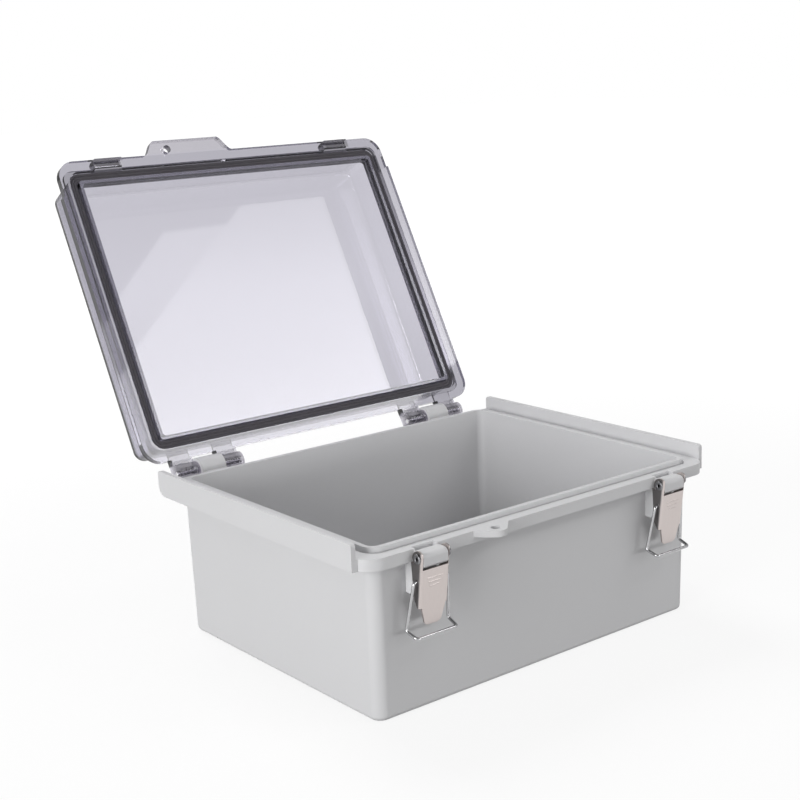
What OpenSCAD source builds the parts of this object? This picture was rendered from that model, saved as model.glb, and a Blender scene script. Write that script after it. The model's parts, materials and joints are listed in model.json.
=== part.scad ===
// Hinged enclosure with a clear domed lid, two bail latches and a mounting rail.
// X runs along the latch side, Y from the latches to the hinges, Z is up.
// The origin is the centre of the underside. The lid stands open.

/* [Body] */
// Width of the body where it meets the flange
body_w = 205; // [190:1:260]
// Depth of the body where it meets the flange
body_d = 159; // [140:1:200]
// Height of the sealing ledge above the underside
ledge_z = 79.3; // [72:0.1:110]
// Amount by which each side leans in at the underside
draft = 1; // [0.2:0.1:1.5]
// Thickness of the walls
wall = 3; // [2.4:0.1:3.4]
// Thickness of the floor
floor_t = 3; // [2.4:0.1:4]
// Radius of the upright corners outside
body_r = 6; // [5:0.5:8]
// Radius of the upright corners inside
cavity_r = 4; // [3:0.5:6]
// Radius of the edge round the underside
foot_r = 2.5; // [1:0.1:3]
// Radius of the edge round the floor inside
floor_r = 2.5; // [1:0.1:3]

/* [Flange and tongue] */
// Reach of the flange past the body at each side
flange_side = 7.5; // [6.5:0.1:9]
// Reach of the flange past the body at front and back
flange_front = 6.5; // [6:0.1:8]
// Thickness of the flange
flange_t = 5.6; // [5:0.1:6.5]
// Radius of the flange and lid corners
corner_r = 10; // [8:0.5:12]
// Thickness of the sealing tongue
tongue_t = 2.4; // [1.8:0.1:2.6]
// Height of the sealing tongue above the ledge
tongue_h = 2.2; // [1.5:0.1:2.6]
// Width of the drip groove outside the tongue
groove_w = 1.2; // [0.6:0.1:2]
// Depth of the drip groove
groove_depth = 1; // [0.5:0.1:2]

/* [Side wings] */
// Thickness of the wings that flank the lid
wing_t = 2.4; // [1.8:0.1:3]
// Height of the wings above the ledge
wing_h = 7.2; // [5:0.1:9]
// Setback of a wing from the flange's front edge
wing_front = 6.5; // [4:0.1:12]
// Setback of a wing from the flange's rear edge
wing_back = 2.2; // [1:0.1:10]
// Radius of a wing's upper corners
wing_r = 1.6; // [0.5:0.1:3]

/* [Lid] */
// Thickness of the lid's rim
rim_t = 4; // [3.4:0.1:4.6]
// Height of the dome's top above the rim's underside
dome_h = 30; // [20:0.5:60]
// Inset of the dome from the rim's edge
dome_inset = 7; // [6.6:0.1:8]
// Wall thickness of the dome
dome_wall = 2.5; // [2:0.1:3]
// Radius of the dome's upright corners
dome_r = 6; // [5:0.5:9]
// Radius of the dome's top edge
dome_edge_r = 3.5; // [2:0.1:4.5]
// Amount by which each side of the dome leans in at its top
dome_draft = 0.8; // [0.2:0.1:1.2]
// Radius of the edge inside the dome's top
dome_inner_r = 1.5; // [0.8:0.1:2.4]
// Inset of the gasket channel's centre from the rim's edge
seal_inset = 9; // [8.8:0.1:9.2]
// Radius of the gasket channel's corners, to its centre
seal_r = 4.2; // [3.2:0.1:6]
// Width of the gasket channel
channel_w = 5.3; // [5:0.1:5.6]
// Thickness of the plastic over the channel
channel_cover = 1.6; // [1.2:0.1:2.4]
// Thickness of the lip inside the channel
lip_t = 1.8; // [1.2:0.1:2.4]
// Thickness of the gasket
gasket_t = 2.3; // [1.6:0.1:3]
// Amount by which the rim narrows at its front corners
rim_step = 1.4; // [0.5:0.1:2]
// Length of the narrower stretch from the front edge
rim_step_len = 20; // [14:0.5:30]

/* [Pull tab and padlock nose] */
// Place of the tab's centre across the front
tab_x = -25.7; // [-34:0.1:-16]
// Width of the tab at its tip
tab_tip_w = 41; // [34:0.5:50]
// Run of the curved sides of the tab
tab_side = 8; // [5:0.5:12]
// Reach of the tab past the rim
tab_reach = 8.4; // [7:0.1:10]
// Distance of the padlock hole from the tab's centre
lock_offset = 13.4; // [11:0.1:15]
// Distance of the padlock hole past the flange's front
lock_out = 3; // [2.6:0.1:4]
// Diameter of the padlock hole
lock_d = 4.6; // [3.5:0.1:5]
// Thickness of the nose
nose_t = 3; // [2.4:0.1:4]
// Radius of the nose round the hole
nose_r = 5.4; // [4.6:0.1:6]
// Half width of the nose where it leaves the flange
nose_half = 10.6; // [8:0.1:14]
// Angle round the nose's tip at which its straight flanks start
nose_turn = 44; // [30:1:55]

/* [Hinges] */
// Distance of each hinge's middle from the flange's side
hinge_inset = 33; // [28:0.5:45]
// Distance of the hinge axis behind the flange
hinge_back = 8; // [7.8:0.1:10]
// Depth of the hinge axis below the ledge
hinge_drop = 0.1; // [0:0.1:0.6]
// Width of a base knuckle
base_knuckle_w = 14.4; // [12:0.1:18]
// Radius of a base knuckle
base_knuckle_r = 6.2; // [5.4:0.1:6.8]
// Width of a lid knuckle
lid_knuckle_w = 12; // [9:0.1:13]
// Radius of a lid knuckle
lid_knuckle_r = 4.8; // [4:0.1:5.2]
// Side gap between knuckles
knuckle_gap = 0.3; // [0.2:0.05:0.6]
// Diameter of a hinge pin
hinge_pin_d = 3; // [2.5:0.1:3.6]
// Amount by which a hinge pin ends inside the lid knuckle at each side
pin_short = 0.3; // [0.1:0.1:1]
// Height of the gusset under a base knuckle
gusset_h = 12; // [8:0.5:20]
// Angle at which the lid stands open
open_angle = 118; // [90:1:125]

/* [Latches] */
// Distance of each latch's middle from the flange's side
latch_inset = 33; // [28:0.5:45]
// Angle at which the lever leans back towards the body
lever_lean = 7; // [0:0.5:8]
// Width of the latch lever over its ears
lever_w = 16.4; // [14:0.1:18]
// Thickness of the lever's sheet
sheet_t = 1; // [0.8:0.1:1.2]
// Radius of the lever's folds, outside
fold_r = 1.4; // [1.3:0.1:2]
// Depth of an ear at its top, from the lever's face
ear_depth = 7; // [6.4:0.1:7.6]
// Depth of an ear near its foot
ear_foot_depth = 3.8; // [3:0.1:5]
// Depth of an ear at its very foot
ear_toe = 1.4; // [1.2:0.1:2.4]
// Height over which an ear's foot slants off
ear_slant = 3.4; // [2:0.1:5]
// Length of the lever from its pivot down to the foot of the ears
ear_len = 22.9; // [19:0.1:26]
// Length of the finger tail below the ears
tail_len = 8.7; // [6:0.1:12]
// Width of the finger tail where it starts
tail_top_w = 13; // [11:0.1:14]
// Width of the finger tail at its end
tail_w = 10; // [7:0.1:11]
// Radius of the finger tail's corners
tail_r = 2.6; // [1.5:0.1:3.4]
// Drop from the foot of the ears to where the tail starts to narrow
tail_shoulder = 1; // [0.5:0.1:2]
// Distance of the lever's top edge below the pivot
plate_drop = 4.8; // [4.6:0.1:6]
// Distance of the lever pivot in front of the flange
pivot_out = 4; // [3.8:0.1:5]
// Depth of the lever pivot below the ledge
pivot_drop = 3.5; // [3.2:0.1:4]
// Distance from the lever pivot back to the bail pivot, along the lever's depth
bail_back = 0.2; // [0:0.1:1]
// Distance from the lever pivot down to the bail pivot
bail_drop = 10.8; // [9:0.1:13]
// Diameter of the bail wire
wire_d = 1.5; // [1.2:0.1:1.8]
// Radius of the wire's bends, to its centre
wire_bend = 1.6; // [1.2:0.1:1.8]
// Length of the bail's legs
bail_leg = 22.6; // [20:0.1:25]
// Distance that the legs lean back towards the body
bail_lean = 3.5; // [2:0.1:4.5]
// Distance that each leg splays outwards
bail_splay = 2.5; // [1.5:0.1:4]
// Forward reach of the hooked end
hook_reach = 6.7; // [5.5:0.1:8]
// Drop of the hooked end
hook_drop = 2.1; // [1:0.1:3]
// Taper of the hooked end at each side
hook_taper = 0.6; // [0.2:0.1:2]
// Length of the bail's ends inside the ears
bail_end = 0.6; // [0.4:0.1:1]
// Angle past upright at which the bail hooks over the catch
bail_over = 10; // [4:1:14]
// Diameter of the lever's rivet
rivet_d = 3; // [2.4:0.1:3.4]
// Diameter of the rivet's hollow
rivet_hollow = 1.6; // [1:0.1:1.8]
// Diameter of a rivet head
rivet_head_d = 4.6; // [4:0.1:5]
// Thickness of a rivet head
rivet_head_t = 0.8; // [0.5:0.1:1]
// Height of the lug's stem below the flange
stem_h = 20.5; // [12:0.5:22]
// Width of the stem
stem_w = 13.4; // [10:0.1:13.8]
// Width of the notch in the ledge behind a lug
notch_w = 12.6; // [10:0.1:13]
// Depth of the notch from the flange's front
notch_back = 3; // [2:0.1:4]
// Depth of the notch below the ledge
notch_down = 2.8; // [2:0.1:3.4]
// Distance of the lug's chin above the lever's top edge
chin_gap = 0.6; // [0.4:0.1:1]
// Gap between the stem's face and the flange's front
stem_back = 1.5; // [1:0.1:3]
// Reach of the catch past the rim
catch_out = 0.5; // [0.1:0.1:1.2]
// Height of the catch's lip above its seat
catch_lip = 1.6; // [1:0.1:2.4]

/* [Posts, inserts and rail] */
// Distance of the corner posts from the inner side walls
post_inset_x = 11.5; // [10.5:0.5:16]
// Distance of the corner posts from the inner front and rear walls
post_inset_y = 14.5; // [10.5:0.5:20]
// Height of the posts above the underside
post_z = 11; // [10:0.5:16]
// Diameter of the posts
post_d = 9; // [8:0.1:10]
// Distance of the foot holes from the inner side walls
foot_inset_x = 9.5; // [8.5:0.5:16]
// Distance of the foot holes from the inner front and rear walls
foot_inset_y = 28.5; // [25:0.5:40]
// Plastic left over a foot hole's end
foot_cover = 2; // [1:0.1:3]
// Diameter of the foot holes
foot_hole_d = 3.2; // [2.5:0.1:4]
// Depth of the foot holes
foot_hole_depth = 6; // [4:0.1:7]
// Outer diameter of the brass inserts
insert_d = 6; // [5:0.1:6.4]
// Length of the brass inserts
insert_len = 6.5; // [5:0.1:7]
// Bore of the brass inserts
insert_bore = 3.3; // [3:0.1:3.6]
// Width of the groove round an insert
insert_groove = 0.8; // [0.4:0.1:1.4]
// Depth of the groove round an insert
insert_groove_depth = 0.4; // [0.2:0.1:0.8]
// Space under an insert for its screw's point
insert_under = 0.5; // [0.2:0.1:0.8]
// Length of the rail
rail_len = 165; // [160:1:180]
// Width of the rail over its brims
rail_w = 35; // [35:1:35]
// Height of the rail
rail_h = 7.5; // [7.5:0.5:15]
// Thickness of the rail's sheet
rail_t = 1; // [0.8:0.1:1.5]
// Width of each brim
rail_brim = 4; // [3:0.1:5]
// Number of slots along the rail
slot_count = 6; // [4:2:6]
// Pitch of the slots
slot_pitch = 25; // [22:1:26]
// Length of a slot
slot_len = 15; // [12:0.5:18]
// Width of a slot
slot_w = 6.2; // [5:0.1:6.4]
// Diameter of a rail screw's head
screw_head_d = 7.8; // [7:0.1:9]
// Height of a rail screw's head
screw_head_h = 2.6; // [2:0.1:3]
// Length of each arm of a screw's cross recess, tip to tip
cross_len = 4; // [3:0.1:5]
// Width of the cross recess
cross_w = 0.9; // [0.6:0.1:1.2]
// Depth of the cross recess
cross_depth = 1.2; // [0.8:0.1:1.6]
// Height of a rail screw's end above its insert's end
screw_short = 1; // [0.2:0.1:2]

/* [Clearances] */
// Gap between the rim and the ledge when the lid is shut
lid_gap = 0.3; // [0.2:0.05:0.5]
// Gap between the tongue and the gasket when the lid is shut
seal_gap = 0.3; // [0.2:0.05:0.5]
// Gap between the rim and each wing
wing_gap = 0.4; // [0.3:0.05:0.8]
// Radial clearance where a pin turns
turn_gap = 0.06; // [0.03:0.01:0.09]
// Radial clearance where a pin or insert is held
held_gap = 0.02; // [0.01:0.01:0.04]
// Side gap between the lug and the lever's ears
ear_gap = 0.3; // [0.2:0.05:0.5]
// Gap between the lever and the flange
lever_gap = 0.3; // [0.2:0.05:0.5]
// Gap between the bail's legs and the ears
leg_gap = 0.55; // [0.4:0.05:0.8]
// Gap between the hooked bail and the catch's seat
hook_gap = 0.4; // [0.2:0.05:0.8]
// Gap between the gasket and each side of its channel
gasket_gap = 0.1; // [0.05:0.05:0.2]
// Gap between the lever's inner face and its lug's front
face_gap = 0.1; // [0.05:0.05:0.2]

/* [Hidden] */
$fn = 64;
over = 1; // how far a cut runs past the face it opens
bend_lap = 3; // degrees by which a wire's bend runs on into its straights
bend_step = 0.02; // how much thinner a bend is, so that it ends inside them

// Body and flange
flange_w = body_w + 2 * flange_side;
flange_d = body_d + 2 * flange_front;
flange_z = ledge_z - flange_t;
front_y = -flange_d / 2;
rear_y = flange_d / 2;
cavity_w = body_w - 2 * wall;
cavity_d = body_d - 2 * wall;
tongue_z = ledge_z + tongue_h;
wing_x = flange_w / 2 + wing_gap;

// Lid, as it lies shut
rim_z = ledge_z + lid_gap;
rim_top = rim_z + rim_t;
gasket_z = tongue_z + seal_gap;
roof_z = gasket_z + gasket_t;
dome_top = rim_z + dome_h;
root_top = max(roof_z, rim_top) + channel_cover;
dome_w = flange_w - 2 * dome_inset;
dome_d = flange_d - 2 * dome_inset;
channel_out = seal_inset - channel_w / 2;
channel_in = seal_inset + channel_w / 2;
root_inset = channel_out - channel_cover;

// Hinges
axis_y = rear_y + hinge_back;
axis_z = ledge_z - hinge_drop;
knuckle_x = base_knuckle_w / 2 + knuckle_gap;
hinge_half = knuckle_x + lid_knuckle_w;
hinge_x = flange_w / 2 - hinge_inset;

// Latches
lever_y = front_y - pivot_out;
lever_z = ledge_z - pivot_drop;
ear_x = lever_w / 2;
lug_w = lever_w - 2 * sheet_t - 2 * ear_gap;
lug_r = pivot_drop - sheet_t;
ear_r = pivot_drop;
shoulder_drop = lever_z - flange_z + lever_gap; // least depth of an ear's shoulder
ear_turn = 50; // angle round an ear's top at which its neck starts
latch_x = flange_w / 2 - latch_inset;
face_y = lever_y - lug_r - face_gap;
foot_z = lever_z - ear_len;
bail_y = lever_y + bail_back * cos(lever_lean) + bail_drop * sin(lever_lean);
bail_z = lever_z + bail_back * sin(lever_lean) - bail_drop * cos(lever_lean);
leg_x = ear_x + leg_gap + wire_d / 2;

// Middle of the bail's crossbar while it hangs, from the bail's pivot
bar_dy = bail_lean - hook_reach;
bar_dz = -bail_leg - hook_drop;
// Middle of the crossbar while it hooks over the catch
hooked_y = bail_y - bar_dy * cos(bail_over) - bar_dz * sin(bail_over);
hooked_z = bail_z + bar_dy * sin(bail_over) - bar_dz * cos(bail_over);
seat_z = hooked_z - wire_d / 2 - hook_gap;

// Posts and rail
rail_post_x = slot_pitch * (slot_count - 1) / 2;
post_x = cavity_w / 2 - post_inset_x;
post_y = cavity_d / 2 - post_inset_y;
foot_x = cavity_w / 2 - foot_inset_x;
foot_y = cavity_d / 2 - foot_inset_y;
lock_x = tab_x - lock_offset;
lock_y = front_y - lock_out;

// ---- Helpers ----

// Rectangle with round corners, centred.
module round_rect(w, d, r) {
    for (x = [-1, 1], y = [-1, 1])
        translate([x * (w / 2 - r), y * (d / 2 - r)]) circle(r = r);
    square([w, d - 2 * r], center = true);
    square([w - 2 * r, d], center = true);
}

// The rim's or flange's outline, moved in by inset.
module inset_outline(inset) {
    round_rect(flange_w - 2 * inset, flange_d - 2 * inset, max(corner_r - inset, 2));
}

// An outline beside the gasket channel's middle line, with the same corner centres.
module seal_outline(inset) {
    round_rect(flange_w - 2 * inset, flange_d - 2 * inset, seal_r + seal_inset - inset);
}

// A tub that stands on its rounded end at z = 0 and is open at z = h.
module rounded_tub(w, d, h, r, edge_r, lean) {
    hull()
        for (x = [-1, 1], y = [-1, 1]) {
            translate([x * (w / 2 - lean - r), y * (d / 2 - lean - r), edge_r])
                rotate_extrude($fn = 32)
                    intersection() {
                        translate([r - edge_r, 0]) circle(r = edge_r, $fn = 32);
                        translate([0, -edge_r]) square([r, 2 * edge_r]);
                    }
            translate([x * (w / 2 - r), y * (d / 2 - r), h - 0.01])
                cylinder(r = r, h = 0.01, $fn = 32);
        }
}

// Extrudes an outline drawn in Y and Z, centred across X.
module across(w) {
    translate([-w / 2, 0, 0]) rotate([90, 0, 90]) linear_extrude(w) children();
}

// A round bar along X, centred.
module bar_x(r, len) {
    rotate([0, 90, 0]) cylinder(r = r, h = len, center = true);
}

// A frame at point o with the given X and Z directions.
module in_frame(o, x, z) {
    y = cross(z, x);
    multmatrix([
        [x.x, y.x, z.x, o.x], [x.y, y.y, z.y, o.y], [x.z, y.z, z.z, o.z], [0, 0, 0, 1]
    ])
        children();
}

function unit(v) = v / norm(v);

// Length that a bend of radius bend_r takes off each side of point i.
function bend_cut(p, i, bend_r) =
    i == 0 || i == len(p) - 1 ? 0
    : bend_r * tan(acos(unit(p[i] - p[i - 1]) * unit(p[i + 1] - p[i])) / 2);

// A round wire of radius r through the points, with round bends.
module wire(points, r, bend_r) {
    for (i = [0:len(points) - 2]) {
        run = unit(points[i + 1] - points[i]);
        from = points[i] + run * bend_cut(points, i, bend_r);
        to = points[i + 1] - run * bend_cut(points, i + 1, bend_r);
        translate(from)
            rotate([0, acos(run.z), atan2(run.y, run.x)]) cylinder(r = r, h = norm(to - from));
    }
    for (i = [1:len(points) - 2]) {
        run = unit(points[i] - points[i - 1]);
        next = unit(points[i + 1] - points[i]);
        inward = unit(next - (run * next) * run);
        from = points[i] - run * bend_cut(points, i, bend_r);
        in_frame(from + inward * bend_r, -inward, cross(run, inward))
            rotate([0, 0, -bend_lap])
                rotate_extrude(angle = acos(run * next) + 2 * bend_lap)
                    translate([bend_r, 0]) circle(r = r - bend_step);
    }
}

// Turns the shut lid about the hinge axis to where it stands open.
module opened() {
    translate([0, axis_y, axis_z])
        rotate([-open_angle, 0, 0])
            translate([0, -axis_y, -axis_z]) children();
}

// ---- Base ----

module wing_outline() {
    front = front_y + wing_front;
    rear = rear_y - wing_back;
    top = ledge_z + wing_h;
    translate([front + wing_r, top - wing_r]) circle(r = wing_r);
    translate([rear - wing_r, top - wing_r]) circle(r = wing_r);
    translate([rear - flange_t, flange_z + flange_t]) circle(r = flange_t);
    polygon([
        [front, flange_z], [rear - flange_t, flange_z], [rear, flange_z + flange_t],
        [rear, top - wing_r], [rear - wing_r, top], [front + wing_r, top],
        [front, top - wing_r]
    ]);
}

module flange() {
    wing_len = flange_d - wing_front - wing_back;
    translate([0, 0, flange_z])
        linear_extrude(flange_t) inset_outline(0);
    intersection() {
        across(2 * (wing_x + wing_t)) wing_outline();
        translate([-wing_x - wing_t, front_y + wing_front, flange_z])
            cube([2 * (wing_x + wing_t), wing_len, flange_t]);
    }
    for (side = [-1, 1])
        translate([side * (wing_x + wing_t / 2), 0, 0]) across(wing_t) wing_outline();
}

module tongue() {
    translate([0, 0, flange_z])
        linear_extrude(tongue_z - flange_z)
            round_rect(cavity_w + 2 * tongue_t, cavity_d + 2 * tongue_t, cavity_r + tongue_t);
}

module drip_groove() {
    inner = tongue_t;
    outer = tongue_t + groove_w;
    translate([0, 0, ledge_z - groove_depth])
        linear_extrude(tongue_h + over)
            difference() {
                round_rect(cavity_w + 2 * outer, cavity_d + 2 * outer, cavity_r + outer);
                round_rect(cavity_w + 2 * inner, cavity_d + 2 * inner, cavity_r + inner);
            }
}

// Lug that carries a latch lever, with its stem down the body.
module latch_lug() {
    chin = lever_z - plate_drop + chin_gap;
    body_front = -body_d / 2 + wall / 2;
    across(lug_w) {
        translate([lever_y, lever_z]) circle(r = lug_r);
        polygon([
            [lever_y, lever_z + lug_r], [lever_y - lug_r, lever_z],
            [lever_y - lug_r, chin + 1], [lever_y - lug_r + 1, chin],
            [front_y + 1, chin], [front_y + 1, lever_z + lug_r]
        ]);
    }
    translate([0, body_front, 0])
        rotate([90, 0, 0])
            linear_extrude(body_front - front_y - stem_back)
                polygon([
                    [-stem_w / 2, flange_z + 1], [-stem_w / 2, flange_z - stem_h + stem_w / 3],
                    [0, flange_z - stem_h],
                    [stem_w / 2, flange_z - stem_h + stem_w / 3], [stem_w / 2, flange_z + 1]
                ]);
}

module base_knuckle() {
    body_rear = body_d / 2 - wall / 2;
    across(base_knuckle_w) {
        translate([axis_y, axis_z]) circle(r = base_knuckle_r);
        polygon([
            [body_rear, ledge_z], [body_rear, flange_z - gusset_h],
            [rear_y, flange_z - 2], [axis_y, axis_z - base_knuckle_r],
            [axis_y, ledge_z]
        ]);
    }
}

module padlock_nose() {
    translate([lock_x, 0, ledge_z - nose_t])
        linear_extrude(nose_t) {
            translate([0, lock_y]) circle(r = nose_r);
            polygon([
                [-nose_half, front_y + 1], [-nose_half, front_y],
                [-nose_r * cos(nose_turn), lock_y - nose_r * sin(nose_turn)],
                [nose_r * cos(nose_turn), lock_y - nose_r * sin(nose_turn)],
                [nose_half, front_y], [nose_half, front_y + 1]
            ]);
        }
}

module post(h, d) {
    translate([0, 0, floor_t / 2]) cylinder(d = d, h = h - floor_t / 2);
}

module insert_pocket() {
    translate([0, 0, post_z - insert_len - insert_under])
        cylinder(r = insert_d / 2 + held_gap, h = insert_len + insert_under + over);
}

module at_plate_posts() {
    for (x = [-1, 1], y = [-1, 1])
        translate([x * post_x, y * post_y, 0]) children();
}

module at_rail_posts() {
    for (x = [-1, 1]) translate([x * rail_post_x, 0, 0]) children();
}

module at_foot_holes() {
    for (x = [-1, 1], y = [-1, 1])
        translate([x * foot_x, y * foot_y, 0]) children();
}

module base_shell() {
    color("#d4d5d6")
    difference() {
        union() {
            rounded_tub(body_w, body_d, ledge_z, body_r, foot_r, draft);
            flange();
            tongue();
            for (side = [-1, 1]) {
                translate([side * latch_x, 0, 0]) latch_lug();
                translate([side * hinge_x, 0, 0]) base_knuckle();
            }
            padlock_nose();
        }
        difference() {
            translate([0, 0, floor_t])
                rounded_tub(cavity_w, cavity_d, tongue_z - floor_t + over, cavity_r, floor_r, draft);
            at_plate_posts() post(post_z, post_d);
            at_rail_posts() post(post_z, post_d);
            at_foot_holes() post(foot_hole_depth + foot_cover, post_d);
        }
        drip_groove();
        at_plate_posts() insert_pocket();
        at_rail_posts() insert_pocket();
        at_foot_holes()
            translate([0, 0, -over]) cylinder(d = foot_hole_d, h = foot_hole_depth + over);
        translate([lock_x, lock_y, ledge_z - nose_t - over])
            cylinder(d = lock_d, h = nose_t + 2 * over);
        for (side = [-1, 1]) {
            translate([side * latch_x, lever_y, lever_z])
                bar_x(rivet_d / 2 + turn_gap, lug_w + 2 * over);
            translate([side * latch_x - notch_w / 2, front_y, ledge_z - notch_down])
                cube([notch_w, notch_back, notch_down + over]);
            translate([side * hinge_x, axis_y, axis_z])
                bar_x(hinge_pin_d / 2 + held_gap, base_knuckle_w + 2 * over);
        }
    }
}

// ---- Lid, drawn shut ----

module rim_outline() {
    round_rect(flange_w - 2 * rim_step, flange_d, corner_r);
    intersection() {
        round_rect(flange_w, flange_d, corner_r);
        translate([-flange_w / 2, front_y + rim_step_len]) square([flange_w, flange_d]);
    }
}

// Pull tab with sides that sweep out in a smooth S.
module tab_outline() {
    steps = 12;
    half = tab_tip_w / 2;
    sweep = [for (i = [0:steps]) let (t = i / steps)
        [half + tab_side * (1 - t), front_y - tab_reach * (1 - cos(180 * t)) / 2]];
    left = [for (i = [0:steps]) let (p = sweep[steps - i]) [-p.x, p.y]];
    translate([tab_x, 0])
        polygon(concat([[half + tab_side, front_y + 1]], sweep, left,
            [[-half - tab_side, front_y + 1]]));
}

// Block that a bail hooks over.
module catch_block() {
    front = front_y - catch_out;
    lip_back = hooked_y - wire_d;
    root = front_y + dome_inset + 1;
    across(lever_w)
        polygon([
            [front, rim_z], [front, seat_z], [front + catch_lip / 2, seat_z + catch_lip],
            [lip_back - catch_lip, seat_z + catch_lip], [lip_back, seat_z],
            [root, seat_z], [root, rim_z]
        ]);
}

module lid_knuckles() {
    root_y = rear_y - root_inset - lip_t;
    arm_top = root_top - channel_cover / 2;
    for (side = [-1, 1])
        translate([side * (knuckle_x + lid_knuckle_w / 2), 0, 0])
            across(lid_knuckle_w) {
                translate([axis_y, axis_z]) circle(r = lid_knuckle_r);
                polygon([
                    [rear_y - 1, rim_z], [axis_y, rim_z], [axis_y, axis_z + lid_knuckle_r],
                    [rear_y - root_inset, arm_top], [root_y, arm_top], [root_y, rim_top]
                ]);
            }
}

module lid_shut() {
    difference() {
        union() {
            translate([0, 0, rim_z]) linear_extrude(rim_t) {
                rim_outline();
                tab_outline();
            }
            translate([0, 0, rim_z])
                linear_extrude(root_top - rim_z) inset_outline(root_inset);
            translate([0, 0, dome_top])
                mirror([0, 0, 1])
                    rounded_tub(dome_w, dome_d, dome_h - 1, dome_r, dome_edge_r, dome_draft);
            for (side = [-1, 1]) {
                translate([side * latch_x, 0, 0]) catch_block();
                translate([side * hinge_x, 0, 0]) lid_knuckles();
            }
        }
        translate([0, 0, dome_top - dome_wall])
            mirror([0, 0, 1])
                rounded_tub(dome_w - 2 * dome_wall, dome_d - 2 * dome_wall,
                    dome_top - dome_wall - root_top, dome_r - dome_wall,
                    dome_inner_r, dome_draft);
        translate([0, 0, rim_z - over])
            linear_extrude(root_top - rim_z + over + 0.01) inset_outline(channel_in + lip_t);
        translate([0, 0, rim_z - over])
            linear_extrude(roof_z - rim_z + over)
                difference() {
                    seal_outline(channel_out);
                    seal_outline(channel_in);
                }
        translate([lock_x, lock_y, rim_z - over])
            cylinder(d = lock_d, h = rim_t + 2 * over);
        for (side = [-1, 1])
            translate([side * hinge_x, axis_y, axis_z])
                bar_x(hinge_pin_d / 2 + turn_gap, 2 * hinge_half + 2 * over);
    }
}

module lid_cover() {
    color("#dfe3ea", 0.45) opened() lid_shut();
}

module lid_gasket() {
    color("#5a585f")
    opened()
        translate([0, 0, gasket_z])
            linear_extrude(gasket_t)
                difference() {
                    seal_outline(channel_out + gasket_gap);
                    seal_outline(channel_in - gasket_gap);
                }
}

// ---- Hinge pins ----

module hinge_pin(side) {
    color("#c9ccd0")
    translate([side * hinge_x, axis_y, axis_z])
        bar_x(hinge_pin_d / 2, 2 * (hinge_half - pin_short));
}

// ---- Latches ----

// Leans a hanging lever back about its pivot.
module leaned() {
    translate([0, lever_y, lever_z])
        rotate([lever_lean, 0, 0]) translate([0, -lever_y, -lever_z]) children();
}

// Folded channel section seen from above.
module channel_section() {
    inner_r = fold_r - sheet_t + 0.1;
    back = face_y + ear_depth + over;
    difference() {
        union() {
            for (x = [-1, 1])
                translate([x * (ear_x - fold_r), face_y + fold_r]) circle(r = fold_r);
            translate([-ear_x, face_y + fold_r]) square([lever_w, back - face_y - fold_r]);
            translate([-ear_x + fold_r, face_y])
                square([lever_w - 2 * fold_r, fold_r + 0.01]);
        }
        for (x = [-1, 1])
            translate([x * (ear_x - sheet_t - inner_r), face_y + sheet_t + inner_r])
                circle(r = inner_r);
        translate([-ear_x + sheet_t, face_y + sheet_t + inner_r])
            square([lever_w - 2 * sheet_t, ear_depth + over]);
        translate([-ear_x + sheet_t + inner_r, face_y + sheet_t])
            square([lever_w - 2 * (sheet_t + inner_r), inner_r + 0.01]);
    }
}

// Side view of an ear before it leans. Its shoulder stays under the flange.
module ear_outline() {
    back = face_y + ear_depth;
    shoulder = lever_z
        - (shoulder_drop + (back - lever_y) * sin(lever_lean)) / cos(lever_lean);
    neck = lever_y + ear_r * cos(ear_turn);
    translate([lever_y, lever_z]) circle(r = ear_r);
    polygon([
        [face_y, lever_z], [face_y, foot_z], [face_y + ear_toe, foot_z],
        [face_y + ear_foot_depth, foot_z + ear_slant], [back, shoulder],
        [neck, shoulder], [lever_y, lever_z]
    ]);
}

module latch_lever(side) {
    tail_z = foot_z - tail_len;
    tail_x = tail_w / 2 - tail_r;
    neck = tail_top_w / 2;
    window_w = lever_w - 2 * sheet_t;
    color("#cfc8c3")
    translate([side * latch_x, 0, 0]) leaned() {
        difference() {
            intersection() {
                translate([0, 0, foot_z]) linear_extrude(ear_len + ear_r + over) channel_section();
                across(lever_w + 2 * over) ear_outline();
            }
            translate([-window_w / 2, face_y - over, lever_z - plate_drop])
                cube([window_w, ear_depth + 2 * over, plate_drop + ear_r + over]);
            translate([0, lever_y, lever_z])
                bar_x(rivet_d / 2 + held_gap, lever_w + 2 * over);
            translate([0, lever_y + bail_back, lever_z - bail_drop])
                bar_x(wire_d / 2 + turn_gap, lever_w + 2 * over);
        }
        translate([0, face_y + sheet_t, 0])
            rotate([90, 0, 0])
                linear_extrude(sheet_t) {
                    for (x = [-1, 1])
                        translate([x * tail_x, tail_z + tail_r]) circle(r = tail_r);
                    polygon([
                        [-neck, foot_z + 0.5], [-neck, foot_z - tail_shoulder],
                        [-tail_w / 2, tail_z + tail_r], [-tail_x, tail_z + tail_r],
                        [-tail_x, tail_z], [tail_x, tail_z], [tail_x, tail_z + tail_r],
                        [tail_w / 2, tail_z + tail_r], [neck, foot_z - tail_shoulder],
                        [neck, foot_z + 0.5]
                    ]);
                }
    }
}

module latch_rivet(side) {
    span = lever_w + 2 * held_gap;
    color("#b9bcc0")
    translate([side * latch_x, lever_y, lever_z])
        difference() {
            union() {
                bar_x(rivet_d / 2, span + 2 * rivet_head_t);
                for (end = [-1, 1])
                    translate([end * (span + rivet_head_t) / 2, 0, 0])
                        bar_x(rivet_head_d / 2, rivet_head_t);
            }
            bar_x(rivet_hollow / 2, span + 2 * rivet_head_t + 2 * over);
        }
}

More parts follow.
